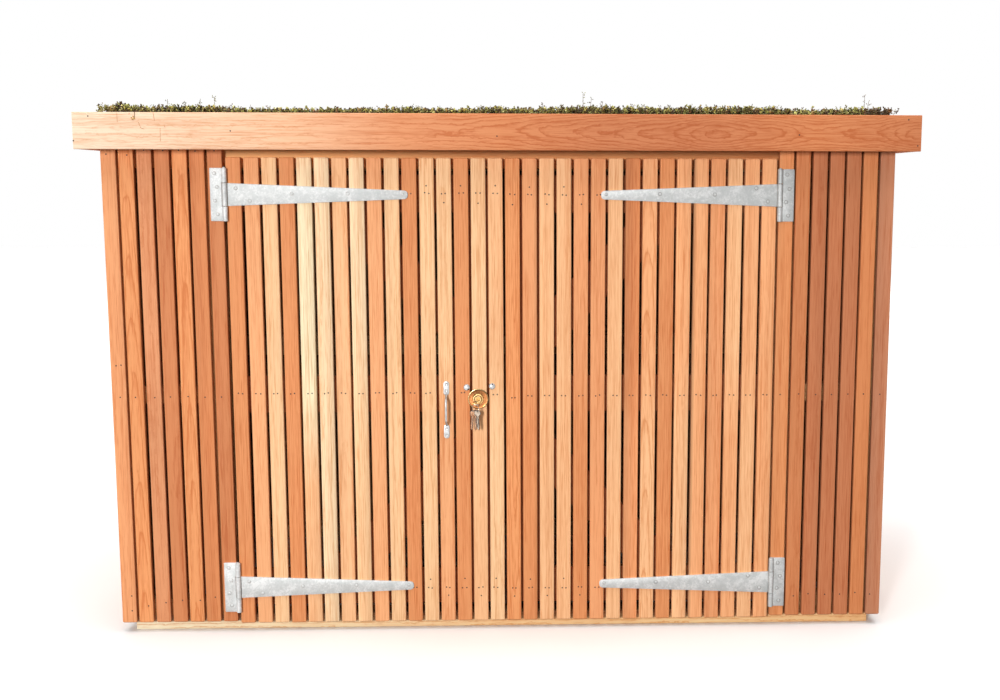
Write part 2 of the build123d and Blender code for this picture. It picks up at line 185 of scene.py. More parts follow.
def wood_figure(g, grain, ring, contrast, mottle, tone):
    """Growth rings round the pith, fibres and slow streaks, laid over a tone. Returns colour, roughness and relief."""
    x, y, _ = g.split(grain)
    drift = g.noise(grain, (9, 9, 1.7), 2, 0.55)
    waver = g.noise(grain, (38, 38, 13), 3, 0.55)
    jag = g.noise(grain, (95, 95, 50), 2, 0.6)
    away = g.vector("LENGTH", g.join(x, y, 0), (0, 0, 0))
    for part, weight in ((drift, 0.014), (waver, 0.004), (jag, g.math("MULTIPLY", mottle, 0.0055))):
        away = g.plus(away, part, weight, 0.5)
    phase = g.math("FRACT", g.math("DIVIDE", away, ring))
    late = g.ramp(phase, (0, 0.3), (0.1, 0), (0.6, 0.08), (0.83, 0.5), (0.94, 1), (1, 0.3))
    broad = g.noise(grain, (70, 70, 0.8), 2, 0.5)
    streak = g.noise(grain, (230, 230, 1.7), 3, 0.6)
    tick = g.noise(grain, (330, 330, 18), 2, 0.6)
    fibre = g.noise(grain, (700, 700, 7), 2, 0.6)
    cloud = g.noise(grain, (26, 26, 6), 2, 0.5)
    fleck = g.ramp(g.noise(grain, (420, 420, 14), 1, 0.5), (0.6, 0), (0.7, 1))
    shade = g.math("MULTIPLY", late, contrast)
    for part, weight, middle in ((broad, 1.2, 0.5), (streak, 1.35, 0.5), (tick, 1.5, 0.5), (fibre, 1.5, 0.42)):
        shade = g.plus(shade, part, weight, middle)
    shade = g.plus(shade, fleck, 0.5)
    shade = g.plus(shade, cloud, mottle, 0.5, clamp=True)
    colour = g.mix(shade, tone, g.mix(1, tone, WOOD_DARK, "MULTIPLY"))
    relief = g.plus(g.math("MULTIPLY", fibre, 0.7), streak, 0.5)
    return colour, g.plus(0.5, fibre, 0.22), relief


def board_material(name):
    """Wood for pieces that carry their own grain, tone and figure at each point."""
    g = Graph(name, specular=0.22)
    grain = g.attribute("grain").outputs["Vector"]
    ring, contrast, mottle = g.split(g.attribute("figure").outputs["Vector"])
    colour, roughness, relief = wood_figure(g, grain, ring, contrast, mottle, g.tone())
    g.bump(relief, 0.25, 0.0006)
    return g.finish(colour, roughness)


def timber_material(name, tone, along, pith, ring, contrast, mottle=0.3, knots=0, turn=0):
    """Wood for plain timbers, with the grain along one axis of the shelter, or turned from it."""
    g = Graph(name, specular=0.3)
    place = g.place()
    if turn:
        values = {"Vector": place, "Angle": radians(turn)}
        place = g.node("ShaderNodeVectorRotate", values, rotation_type="Y_AXIS").outputs[0]
    x, y, z = g.split(place)
    x, y, z = {"x": (y, z, x), "y": (z, x, y), "z": (x, y, z)}[along]
    grain = g.join(g.math("ADD", x, pith[0]), g.math("ADD", y, pith[1]), z)
    grain = g.vector("ADD", grain, g.join(0, g.math("MULTIPLY", z, RUN_OUT), 0))
    colour, roughness, relief = wood_figure(g, grain, ring, contrast, mottle, lin(*tone))
    if knots:
        near, _ = g.cells(grain, (8, 8, 2.6))
        spot = g.ramp(near, (0, 1), (0.07, 0.85), (0.13, 0.25), (0.22, 0))
        colour = g.mix(g.math("MULTIPLY", spot, knots), colour, lin(*KNOT))
    g.bump(relief, 0.3, 0.0006)
    return g.finish(colour, roughness)


def galvanised_material(name):
    """Hot-dip zinc: soft pale blotches and fine spangle over the tone at each point."""
    g = Graph(name, metallic=0.25)
    place = g.place()
    blotch = g.noise(place, 34, 4, 0.66)
    fine = g.noise(place, 260)
    spangle = g.split(g.cells(place, 240)[1])[0]
    shade = g.plus(g.plus(g.math("MULTIPLY", blotch, 0.7), spangle, 0.12), fine, 0.18)
    colour = g.ramp(shade, (0.38, lin(195, 198, 197)), (0.5, lin(206, 208, 207)), (0.62, lin(227, 228, 227)))
    colour = g.mix(1, colour, g.tone(), "MULTIPLY")
    g.bump(g.math("ADD", fine, blotch), 0.1, 0.0004)
    return g.finish(colour, g.plus(0.42, blotch, 0.3))


def metal_material(name, colour, worn, roughness, metallic=1):
    """Plated or polished metal with fine scuffs."""
    g = Graph(name, metallic=metallic)
    place = g.place()
    scuff = g.noise(place, (220, 220, 88), 3, 0.6)
    cloud = g.noise(place, 60)
    shade = g.plus(g.math("MULTIPLY", scuff, 0.55), cloud, 0.45)
    tint = g.ramp(shade, (0.35, lin(*worn)), (0.6, lin(*colour)))
    g.bump(scuff, 0.08, 0.0003)
    return g.finish(tint, g.plus(roughness, scuff, 0.16))


def mottled_material(name, dark, noise, span, bump, rough, **shader):
    """The tone at each point with fine dark specks: polished brass with scuffs, or fleshy leaves."""
    g = Graph(name, **shader)
    tone = g.tone()
    speck = g.noise(g.place(), *noise)
    share = g.ramp(speck, (span[0], 1), (span[1], 0))
    g.bump(speck, *bump)
    colour = g.mix(share, tone, g.mix(1, tone, dark, "MULTIPLY"))
    return g.finish(colour, g.plus(rough[0], speck, rough[1]))


def soil_material(name, pale, dark, scale):
    """Loose crumbly material."""
    g = Graph(name, roughness=0.95, specular=0.15)
    place = g.place()
    near, cell = g.cells(place, scale)
    cloud = g.noise(place, 40, 3, 0.6)
    grit = g.plus(g.math("MULTIPLY", g.split(cell)[1], 0.5), cloud, 0.5)
    g.bump(g.math("SUBTRACT", cloud, near), 0.8, 0.004)
    return g.finish(g.ramp(grit, (0.3, lin(*dark)), (0.7, lin(*pale))))


def liner_material(name):
    """Black sheet, dusty and slightly creased."""
    g = Graph(name, specular=0.3)
    dust = g.noise(g.place(), 24, 4, 0.65)
    g.bump(dust, 0.4, 0.002)
    return g.finish(g.ramp(dust, (0.4, lin(28, 28, 28)), (0.75, lin(74, 71, 66))), 0.62)


# The door framing's brown is darker than the cladding's, partly painted shade for the backs seen through the gaps.
DOOR_TIMBER = (176, 106, 62)
DOOR_RINGS, PINE_RINGS, PLY_RINGS = (0.005, 0.45), (0.0055, 0.36, 0.3, 0.8), (0.011, 0.5, 0.5)
cedar = board_material("cedar_boards")
frame_rails = timber_material("door_timber_x", DOOR_TIMBER, "x", (0.47, -0.62), *DOOR_RINGS)
frame_stile = timber_material("door_timber_z", DOOR_TIMBER, "z", (0.05, 0.5), *DOOR_RINGS)
brace_rise = timber_material("brace_rising", DOOR_TIMBER, "x", (0.5, 0.1), *DOOR_RINGS, turn=45)
brace_fall = timber_material("brace_falling", DOOR_TIMBER, "x", (0.5, 0.1), *DOOR_RINGS, turn=-45)
pine_x = timber_material("pine_x", (240, 205, 145), "x", (0.43, -0.03), *PINE_RINGS)
pine_y = timber_material("pine_y", (236, 200, 140), "y", (-0.02, 0.95), *PINE_RINGS)
pine_z = timber_material("pine_z", (233, 196, 137), "z", (0.92, 0.44), *PINE_RINGS)
# The linings' ply is darker than the deck's: painted shade for the inside seen through the gaps.
ply = timber_material("ply_lining", (140, 102, 64), "z", (0.35, 0.3), *PLY_RINGS)
ply_x = timber_material("ply_deck", (186, 142, 92), "x", (0.35, 0.3), *PLY_RINGS)
galvanised = galvanised_material("galvanised")
zinc = metal_material("zinc", (192, 193, 193), (154, 156, 157), 0.3, 0.85)
# Grey for the rings round the left hinges' bolts and the handle's screws: painted shade.
soft_ring_shade = metal_material("soft_ring_shade", (178, 175, 171), (142, 139, 135), 0.45, 0.3)
brass = mottled_material("brass", BRASS_DARK, (300, 3, 0.6), (0.34, 0.56), (0.1, 0.0003), (0.16, 0.16),
                         metallic=1)
nickel = metal_material("key_nickel", (190, 174, 158), (96, 80, 64), 0.18)
bronze = metal_material("key_bronze", (198, 152, 120), (100, 64, 42), 0.2)
nail_steel = metal_material("nail_steel", (44, 31, 23), (18, 13, 10), 0.6, 0)
# Dark grey for the keys' edges, eyes and grooves: painted shade.
key_shade = metal_material("key_shade_grey", (84, 84, 82), (46, 46, 44), 0.45, 0.3)
# Darker grey for the rings round the right hinges' bolts: painted shade.
dark_ring_shade = metal_material("dark_ring_shade", (146, 142, 138), (104, 98, 92), 0.5, 0.25)
leaf = mottled_material("sedum_leaf", LEAF_DARK, (420, 2, 0.6), (0.38, 0.62), (0.2, 0.0006), (0.45, 0.25),
                        specular=0.3)
moss = soil_material("sedum_moss", (92, 96, 46), (44, 40, 24), 150)
soil = soil_material("growing_medium", (96, 70, 52), (44, 33, 26), 190)
sheet = liner_material("liner_sheet")

NODE_LOOKS = (
    (pine_x, "back_sill back_beam wall_rails front_noggins end_kerbs"),
    (pine_y, "side_sills side_plates rafters side_kerbs"),
    (pine_z, "corner_posts jamb_posts"),
    (ply, "side_linings back_lining"),
    (ply_x, "roof_deck"),
    (sheet, "roof_liner"),
    (soil, "growing_medium"),
    (frame_rails, "left_door_rails right_door_rails"),
    (frame_stile, "left_door_stile right_door_stile"),
    (brace_rise, "left_door_braces"),
    (brace_fall, "right_door_braces"),
    (zinc, "lock_case lock_bolt lock_strike"),
)
for look, names in NODE_LOOKS:
    for name in names.split():
        nodes[name].data.materials.clear()
        nodes[name].data.materials.append(look)


# Joined meshes


def new_object(name, data):
    made = bpy.data.objects.new(name, data)
    scene.collection.objects.link(made)
    return made


def put_values(mesh, key, rows):
    """Gives a mesh one value a point: a colour for its tone, or a vector."""
    kind, field = ("FLOAT_COLOR", "color") if key == "tone" else ("FLOAT_VECTOR", "vector")
    mesh.attributes.new(key, kind, "POINT").data.foreach_set(field, rows.astype(np.float32).ravel())


class Bag:
    """Points, faces and values of many small things, joined into one mesh."""

    def __init__(self):
        self.points, self.faces, self.looks, self.values = [], [], [], {}

    def add(self, points, faces, look=0, **values):
        start = len(self.points)
        self.points.extend(tuple(p) for p in points)
        self.faces.extend(tuple(i + start for i in face) for face in faces)
        self.looks.extend([look] * len(faces))
        for key, rows in values.items():
            self.values.setdefault(key, []).extend(rows)

    def build(self, name, body, slot, materials, replaced=(), angle=35):
        mesh = bpy.data.meshes.new(name)
        mesh.from_pydata(self.points, [], self.faces)
        for key, rows in self.values.items():
            put_values(mesh, key, np.array(rows))
        mesh.update()
        place_mesh(mesh, name, body, materials, replaced, angle, self.looks)


def place_mesh(mesh, name, body, materials, replaced=(), angle=35, looks=None):
    """Turns a mesh into a piece that rides on a body."""
    for material in materials:
        mesh.materials.append(material)
    if looks is not None:
        mesh.polygons.foreach_set("material_index", looks)
    mesh.polygons.foreach_set("use_smooth", [True] * len(mesh.polygons))
    mesh.set_sharp_from_angle(angle=radians(angle))
    piece = new_object(name, mesh)
    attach(piece, body)
    if replaced:
        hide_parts(*replaced)


def skin(rings, count, closed=False):
    """Faces of a tube of rings of points, with a flat face at each end unless it closes on itself."""
    faces = []
    for k in range(rings if closed else rings - 1):
        n = (k + 1) % rings
        for i in range(count):
            j = (i + 1) % count
            faces.append((k * count + i, k * count + j, n * count + j, n * count + i))
    if not closed:
        faces.append(tuple(reversed(range(count))))
        faces.append(tuple(range((rings - 1) * count, rings * count)))
    return faces


def rounded_section(width, thick, radius, steps=3):
    """Points round a rectangle with eased corners, counter-clockwise, with two more on each wide face."""
    out = []
    for corner, (sx, sy) in enumerate(((1, 1), (-1, 1), (-1, -1), (1, -1))):
        cx, cy = sx * (width / 2 - radius), sy * (thick / 2 - radius)
        for step in range(steps + 1):
            angle = radians(90 * (corner + step / steps))
            out.append((cx + radius * cos(angle), cy + radius * sin(angle)))
        if corner in (0, 2):
            out += [(turn * sx * 0.3 * width, sy * thick / 2) for turn in (1, -1)]
    return out


def along_list(values, share):
    """Value at a share of the way along an evenly spaced list, eased between its members."""
    spot = share * (len(values) - 1)
    low = min(int(spot), len(values) - 2)
    ease = spot - low
    ease = ease * ease * (3 - 2 * ease)
    return values[low] + (values[low + 1] - values[low]) * ease


def board(bag, foot, along, across, length, size, tones, pith, slope, figure, shift, bow=0, stations=10,
          edge=0.001, side_shade=0, lean=0, dark_edge=(0, 1), depths=(0, 0)):
    """A straight eased board: foot is the middle of its low end, and tones run evenly from there to its high end.

    The grain is told from the tree's heart: pith is where that lies, slope and depths how the board runs across it.
    """
    along, across = Vector(along), Vector(across)
    back = along.cross(across)
    width, thick, radius = size
    outer = rounded_section(width, thick, radius)
    inner = rounded_section(width - 2 * edge, thick - 2 * edge, max(radius - edge, edge))
    places = [(0, inner)] + [(edge + (length - 2 * edge) * k / stations, outer) for k in range(stations + 1)]
    places.append((length, inner))
    points, grain, tone, marks = [], [], [], []
    figures = np.array(figure if isinstance(figure, list) else [figure, figure])
    for z, section in places:
        share = z / length
        sway = bow * sin(pi * share)
        mixed = [np.interp(share * (len(tones) - 1), range(len(tones)), channel) for channel in zip(*tones)]
        deep = pith[1] + slope * z + along_list(depths, share)
        mark = tuple(along_list(figures, share))
        for a, b in section:
            points.append(Vector(foot) + along * z + across * (a + sway) + back * b)
            grain.append((a + pith[0], b + deep, z + shift))
            marks.append(mark)
            lift = 1 + lean * a / width * 2
            # Painted shade: the eased sides of a board are darker by the share side_shade.
            lift *= 1 - side_shade * min(max((abs(a) - width / 2 + radius) / radius, 0), 1)
            if a * dark_edge[0] > 0.35 * width:
                lift *= dark_edge[1]
            tone.append((mixed[0] * lift, mixed[1] * lift, mixed[2] * lift, 1))
    bag.add(points, skin(len(places), len(outer)), 0, grain=grain, tone=tone, figure=marks)


def mm(*pairs):
    """Pairs of lengths in millimetres, as metres."""
    return [(MM * a, MM * b) for a, b in pairs]


def turned(bag, profile, centre, look=0, segments=40, axis="y", **values):
    """A turned form: profile is (radius, height) from the rim to the axis, standing out along -Y, or up along Z."""
    points = []
    cx, cy, cz = centre
    for radius, height in profile:
        for i in range(segments):
            angle = 2 * pi * i / segments
            a, b = radius * cos(angle), radius * sin(angle)
            points.append((cx + a, cy - height, cz + b) if axis == "y" else (cx + a, cy + b, cz + height))
    bag.add(points, skin(len(profile), segments), look, **values)


def plate(bag, outline, y_back, thick, ease, look=0, steps=2, edge_look=None):
    """A flat plate: an outline in X and Z, thick towards -Y, its front edges eased, in a look of their own if given."""
    form = bmesh.new()
    ring = [form.verts.new((x, y_back, z)) for x, z in outline]
    face = form.faces.new(ring)
    made = bmesh.ops.extrude_face_region(form, geom=[face])
    front = [v for v in made["geom"] if isinstance(v, bmesh.types.BMVert)]
    bmesh.ops.translate(form, verts=front, vec=(0, -thick, 0))
    keep = set(front)
    rim = [e for e in form.edges if e.verts[0] in keep and e.verts[1] in keep]
    bmesh.ops.bevel(form, geom=rim, offset=ease, segments=steps, profile=0.5, affect="EDGES")
    bmesh.ops.recalc_face_normals(form, faces=form.faces)
    form.verts.index_update()
    bag.add([v.co[:] for v in form.verts], [[v.index for v in f.verts] for f in form.faces], look)
    if edge_look is not None:
        bag.looks[-len(form.faces):] = [look if abs(f.normal.y) > 0.95 else edge_look for f in form.faces]
    form.free()


def tube(bag, path, radius, look=0, segments=12, closed=False):
    """A round bar along a path of points."""
    path = [Vector(p) for p in path]
    count = len(path)
    points = []
    side = None
    for k, p in enumerate(path):
        ahead = path[(k + 1) % count] if closed or k + 1 < count else p
        behind = path[k - 1] if closed or k else p
        way = (ahead - behind).normalized()
        if side is None:
            side = way.orthogonal().normalized()
        side = (side - way * side.dot(way)).normalized()
        up = way.cross(side)
        for i in range(segments):
            angle = 2 * pi * i / segments
            points.append(p + side * (radius * cos(angle)) + up * (radius * sin(angle)))
    bag.add(points, skin(count, segments, closed), look)


def arc(cx, cz, radius, start, end, steps):
    """Points of an arc in X and Z, angles in degrees."""
    angles = [radians(start + (end - start) * k / steps) for k in range(steps + 1)]
    return [(cx + radius * cos(a), cz + radius * sin(a)) for a in angles]


# Places that several pieces share: the face of the cladding, and the roof, which falls 1 in 40 to the back.
FRONT = -0.5
DECK, DECK_FRONT, FALL = 1.2865, -0.529, 40
UP, ACROSS = (0, 0, 1), (1, 0, 0)


def deck_level(y):
    """Height of the roof deck's underside at one depth."""
    return DECK - (y - DECK_FRONT) / FALL


# Cladding: tones, two letters a slat, for its upper and its lower half, from left to right.
TONES = {letter: lin(*tone) for letter, tone in zip("VCHPSTONMDBRK", (
    (255, 238, 198), (255, 221, 178), (253, 204, 154), (252, 194, 143), (249, 179, 126), (241, 166, 114),
    (241, 162, 105), (225, 152, 106), (232, 153, 99), (219, 139, 88), (213, 135, 87), (200, 125, 84),
    (200, 133, 98)))}
front_tones = "TT OO NN BB OO DD BB".split()
front_tones += "MM SS HH MM VP CC PP CH SS HH MM HH HS MM HP PH".split()
front_tones += "OO TM PP PP TM TT PP DT SP MM SP SS TT PS SP SS".split()
front_tones += "MM BB RR RR RR DD KK".split()

# Single slats, by number: the slope of the grain in flat-sawn ones, the share by which one is lighter at its right
# edge, and the side and share of a darker edge.
flat_sawn = {1: 0.026, 4: 0.018, 23: -0.02, 31: 0.022}
leans = {0: -0.04, 5: 0.06, 9: -0.05, 11: -0.08, 12: -0.15, 13: 0.05, 14: -0.14, 16: 0.04, 25: -0.04, 30: 0.17,
         33: -0.08, 35: 0.05, 38: -0.05, 39: 0.06, 41: -0.07, 45: 0.09}
dark_edges = {24: (1, 0.8), 34: (-1, 0.62)}
MOTTLED, UNEVEN, PALE_TOP = (2, 6, 24, 45), 2, 11

# How far the edges of the slats wander to the right, in mm, from the left end of the front to the right one.
drifts = [0, -3.1, -0.8, -0.2, -0.6, -0.7, -1.7, 0, 1.3, 2.6, 2.2, 2.5, 1.9, 2.2, 2, 2.1, 2.6, 2.7, 3.1, 3,
          2.4, 2.4, 1.6, 1.6, 1.3, 1, 1.2, 1.5, 1.6, 1.9, 2.2, 2.8, 2.7, 2.5, 2.6, 2.5, 2.4, 2.2, 2.4, 2.6, 1.4,
          1.4, 1.8, 1.6, 0.6, -0.3, 0]

# The width, thickness and eased edge of a slat, and the numbers at which the doors begin, meet and end.
# SIDE_SHADE darkens the slats' eased sides: painted shade in the gaps.
PITCH, SLAT, BOW, SIDE_SHADE, GRAIN_STEP = 0.044, (0.0379, 0.019, 0.0022), 0.0006, 0.25, 3.7
LEFT, MEETING, RIGHT, COUNT = 7, 23, 39, 46
rng = random.Random(11)


def stray(reach):
    return rng.uniform(-reach, reach)


def varied(tone, spread):
    """A tone a little lighter or darker, and a little redder or yellower."""
    lift, warm = 1 + stray(spread), 1 + stray(spread) * 0.35
    return (tone[0] * lift, tone[1] * lift * warm, tone[2] * lift * warm * warm, 1)


def slat_figure(sawn):
    """Where the tree's heart lies, how the grain runs out, then ring width, contrast and mottle of one slat."""
    if sawn is not None:
        return (stray(0.006), 0.03), sawn, (0.0046, 1, 0.12)
    if rng.random() < 0.25:
        return (stray(0.03), rng.uniform(0.05, 0.09)), stray(0.006), (0.005, 0.42, 0.25)
    return (rng.choice((-1, 1)) * rng.uniform(0.09, 0.17), stray(0.05)), stray(0.004), (0.0046, 0.32, 0.28)


def slat_x(i):
    """Middle of one front slat. The rows wander by a few millimetres."""
    return PITCH * (i - (COUNT - 1) / 2) + MM * (drifts[i] + drifts[i + 1]) / 2


def front_slats(name, body, first, last, node):
    """Slats of a fixed panel or of a door."""
    low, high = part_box(node)
    bag = Bag()
    for i in range(first, last):
        upper, lower = (TONES[letter] for letter in front_tones[i])
        spread = 0.08 if i == UNEVEN else 0.035
        tones = [varied(tone, spread) for tone in [lower] * 3 + [upper] * 3]
        if i == PALE_TOP:
            tones.append(TONES["C"])
        pith, slope, (ring, contrast, mottle) = slat_figure(flat_sawn.get(i))
        figure = (ring, contrast, 1 if i in MOTTLED else mottle)
        foot = (slat_x(i), FRONT + SLAT[1] / 2, low.z)
        board(bag, foot, UP, ACROSS, high.z - low.z, SLAT, tones, pith, slope, figure, GRAIN_STEP * i,
              stray(BOW), edge=SLAT[2], side_shade=SIDE_SHADE, lean=leans.get(i, 0),
              dark_edge=dark_edges.get(i, (0, 1)))
    bag.build(name, body, "cedar", [cedar], [node])


front_slats("fixed_slats_left", "shelter", 0, LEFT, "front_left_slats")
front_slats("fixed_slats_right", "shelter", RIGHT, COUNT, "front_right_slats")
front_slats("door_slats_left", "left_door", LEFT, MEETING, "left_door_slats")
front_slats("door_slats_right", "right_door", MEETING, RIGHT, "right_door_slats")


def wall_slats(name, node, count, step, across, falls=False):
    """Slats of an unseen wall, in the same mix of tones. The tops of the side ones fall with the roof."""
    low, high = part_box(node)
    step = Vector(step) * PITCH
    first = (low + high) / 2 - step * ((count - 1) / 2)
    bag = Bag()
    for i in range(count):
        tone = TONES[rng.choice("TORDMSPHDPSMBPTNH")]
        tones = [varied(tone, 0.06) for _ in range(4)]
        pith, slope, figure = slat_figure(rng.choice((0.02, -0.015)) if rng.random() < 0.2 else None)
        foot = first + step * i
        foot.z = low.z
        top = deck_level(foot.y) if falls else high.z
        board(bag, foot, UP, across, top - foot.z, SLAT, tones, pith, slope, figure, 200 + GRAIN_STEP * i,
              stray(BOW), side_shade=SIDE_SHADE, lean=stray(0.08))
    bag.build(name, "shelter", "cedar", [cedar], [node])


wall_slats("wall_slats_back", "back_slats", COUNT, ACROSS, (-1, 0, 0))
wall_slats("wall_slats_left", "left_side_slats", 22, (0, 1, 0), (0, 1, 0), True)
wall_slats("wall_slats_right", "right_side_slats", 22, (0, 1, 0), (0, 1, 0), True)


# Fascia boards. The front one is flat sawn: its grain closes in eyes and arches along the right two thirds.
FASCIA = (0.091, 0.022, 0.0022)
FASCIA_X, FASCIA_Y, FASCIA_Z = 1.06, 0.54, 1.311
cream, peach, warm = lin(254, 228, 200), lin(250, 196, 156), lin(231, 156, 109)
red, brown = lin(222, 142, 93), lin(208, 130, 86)
pale = tuple((a + b) / 2 for a, b in zip(cream, peach))
quiet, lively, arched = (0.0036, 0.5, 0.8), (0.0036, 1.15, 0.5), (0.005, 0.8, 0.5)
bag = Bag()
board(bag, (-FASCIA_X, -FASCIA_Y, FASCIA_Z), ACROSS, UP, 2 * FASCIA_X, FASCIA,
      [cream, pale, peach, warm, red, brown, brown, red, brown], (0.002, 0), 0, [quiet] * 3 + [lively] * 4, 40,
      stations=160, depths=(0.06, 0.06, 0.061, 0.06, 0.061, 0.06, 0.06, 0.06, 0.057, 0.051, 0.045, 0.04, 0.031,
                            0.038, 0.045, 0.041, 0.03))
bag.build("fascia_front", "shelter", "cedar", [cedar], ["front_fascia"])
bag = Bag()
board(bag, (FASCIA_X, FASCIA_Y, FASCIA_Z + 2 * DECK_FRONT / FALL), (-1, 0, 0), UP, 2 * FASCIA_X, FASCIA,
      [warm, red, warm, red, peach, red], (-0.01, 0), 0, arched, 52, stations=80,
      depths=(0.03, 0.022, 0.036, 0.06, 0.05, 0.028, 0.022, 0.034, 0.048, 0.03))
bag.build("fascia_back", "shelter", "cedar", [cedar], ["back_fascia"])

# Header over the doors and sill under the front. The header's tones darken to the right and its lean darkens its top:
# painted shade, falling off to the right and under the fascia. The sill's lean makes it darker towards its top.
HEADER_TONES = [lin(245, 188, 124), lin(237, 174, 112), lin(215, 148, 92), lin(209, 142, 88), lin(193, 126, 78)]
SILL_TONES = [lin(255, 238, 204), lin(255, 228, 184), lin(252, 206, 150), lin(255, 214, 158), lin(252, 202, 144)]
TIMBERS = (("header", "door_header", HEADER_TONES, 0.05, 0.4, -0.5),
           ("sill", "front_sill", SILL_TONES, 0.03, 1, -0.14))
for name, node, tones, pith, contrast, lean in TIMBERS:
    low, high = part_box(node)
    bag = Bag()
    board(bag, (low.x, (low.y + high.y) / 2, (low.z + high.z) / 2), ACROSS, UP, high.x - low.x,
          (high.z - low.z, high.y - low.y, 0.002), tones, (0.03, pith), 0, (0.0044, contrast, 0.8), 70,
          stations=40, lean=lean)
    bag.build(name, "shelter", "softwood", [cedar], [node])

# The side fascias follow the fall of the roof.
fall = Vector((0, 1, -1 / FALL)).normalized()
bag = Bag()
for side, shift in ((-1, 60), (1, 69)):
    board(bag, (side * (FASCIA_X - FASCIA[1] / 2), DECK_FRONT, FASCIA_Z), fall, UP,
          -2 * DECK_FRONT * hypot(1, 1 / FALL), FASCIA, [warm, red, brown, warm], (0.01, 0), 0, arched, shift,
          stations=50, depths=(0.034, 0.024, 0.042, 0.062, 0.036, 0.026))
bag.build("fascia_sides", "shelter", "cedar", [cedar], ["side_fascias"])

# Nails: a pair and a third at each door rail, singles in the fixed panels, and a few in the fascia.
HEAD = mm((1.9, 0), (1.9, 0.18), (1.3, 0.3), (0.4, 0.12))
NAIL_STRAY, PAIR_HALF = 0.0015, 0.005
# Heights in the fixed panels, one of them behind the fascia, and the low nails, as mm aside of the slat's middle and
# above the ground.
TOP_LEFT, TOP, TOP_HIDDEN, MIDDLE = 1.252, 1.2625, 1.275, 0.633
LOW_NAILS = [(10, 61), (12, 73), (12, 82), (8, 86), (5, 86), (12, 94), (0, 90),
             (0, 85), (0, 82), (0, 87), (-5, 86), (-7, 85), (-5, 89), (-11, 83)]
# Heights at the door rails, and how far above or below the pair the third nail is. The right door's are lower.
MID_RAIL, RIGHT_SINK = 0.641, 0.003
RAIL_NAILS = ((1.157, (0.019, -0.025)), (MID_RAIL, None), (0.115, (0.024, -0.022)))
# Slats with a third nail, those with a lower pair at mid height, and those with pairs further left from there down.
THIRDS, DROPPED, DROP, SHIFTED, SHIFT = range(18, 28), (22, 23), 0.004, (18, 22), 0.0035
EDGE_NAILS = ((-0.984, 0.102), (-0.996, 0.716), (-0.984, 0.716))
FASCIA_NAILS = ((-1.021, 1.3475), (-1.057, 1.2853), (-0.6726, 1.3123), (-0.0125, 1.3017), (0.7482, 1.3049),
                (1.0259, 1.3458), (1.05, 1.2809))
nails = {"shelter": Bag(), "left_door": Bag(), "right_door": Bag()}


def nail(body, x, z, y=FRONT):
    turned(nails[body], HEAD, (x + stray(NAIL_STRAY), y, z + stray(NAIL_STRAY)), segments=8)


for i in range(COUNT):
    x = slat_x(i)
    if i < LEFT or i >= RIGHT:
        nail("shelter", x + stray(0.006), TOP_LEFT if i < 2 else TOP if i < LEFT else TOP_HIDDEN)
        nail("shelter", x + stray(0.003), MIDDLE)
        aside, level = LOW_NAILS[i if i < LEFT else i - RIGHT + LEFT]
        nail("shelter", x + MM * aside + stray(0.006), MM * level)
        continue
    body, sink = ("left_door", 0) if i < MEETING else ("right_door", RIGHT_SINK)
    for level, third in RAIL_NAILS:
        z = level - sink
        if level == MID_RAIL:
            z -= 2 * sink + DROP * (i in DROPPED)
            x -= SHIFT * (i in SHIFTED)
        nail(body, x - PAIR_HALF, z)
        nail(body, x + PAIR_HALF, z)
        if third and i in THIRDS:
            nail(body, x, z + third[i % 2])
for x, z in EDGE_NAILS:
    nail("shelter", x, z)
for x, z in FASCIA_NAILS:
    nail("shelter", x, z, -FASCIA_Y - FASCIA[1] / 2)
for body, bag in nails.items():
    bag.build(f"nails_{body}", body, "zinc", [nail_steel])

# Tee hinges. Bolts are placed out from the pin and up from the hinge's middle.
HINGE_OUT, HINGE_ASIDE, HINGE_Y, HINGE_LEVELS = 0.7065, 0.004, -0.5075, (0.1225, 1.153)
METAL, EASE, KNUCKLE, KNUCKLE_END, KNUCKLE_EASE = 0.004, 0.0007, 0.0065, 0.0058, 0.0008
STRAP, ROOT_HALF, TIP_HALF = 0.46, 0.029, 0.011
PLATE, PLATE_HALF, NOTCH_HALF, CORNER = 0.037, 0.067, 0.03, 0.0015
BOLT = mm((4, 0), (4, 0.6), (3.6, 1.2), (2.7, 1.6), (1.4, 1.8))
# A thin dark ring under each bolt head, standing for the shade round it: painted shade.
BOLT_SHADE_RING = mm((5, 0), (5, 0.15), (3.8, 0.15))
PIN_CAP = mm((3, 0), (3.6, 0.6), (3.6, 1.6), (2.4, 2.4))
STRAP_BOLTS = {-1: mm((27.5, 15.5), (62, -16)), 1: mm((30, -15.5), (61, 18))}
BLADE_BOLTS = ((0.168, 0.002, 1), (0.309, 0.003, 1), (0.447, 0.002, 0.8))
PLATE_BOLTS = {-1: mm((24.5, 53.5), (19, 19), (25, -15.5), (19.5, -49.5)),
               1: mm((18.2, 53), (25, 16.5), (16.9, -17), (22.8, -51.7))}


def both_halves(first, upper):
    """An outline that is the same below as above. Its first point decides how the flat face shades."""
    outline = upper + [(out, -up) for out, up in reversed(upper)]
    return outline[first:] + outline[:first]


STRAP_FORM = both_halves(-1, [(0.0062, ROOT_HALF), (STRAP - 0.007, TIP_HALF), (STRAP - 0.002, TIP_HALF * 0.72),
                              (STRAP, TIP_HALF * 0.3)])
PLATE_FORM = both_halves(-3, [(PLATE, PLATE_HALF - CORNER), (PLATE - CORNER, PLATE_HALF), (0.0005, PLATE_HALF),
                              (0.0005, NOTCH_HALF), (0.008, NOTCH_HALF)])


def knuckle(bag, x, z, length):
    profile = [(KNUCKLE_END, 0), (KNUCKLE, KNUCKLE_EASE), (KNUCKLE, length - KNUCKLE_EASE), (KNUCKLE_END, length)]
    turned(bag, profile, (x, HINGE_Y, z), axis="z", segments=28)


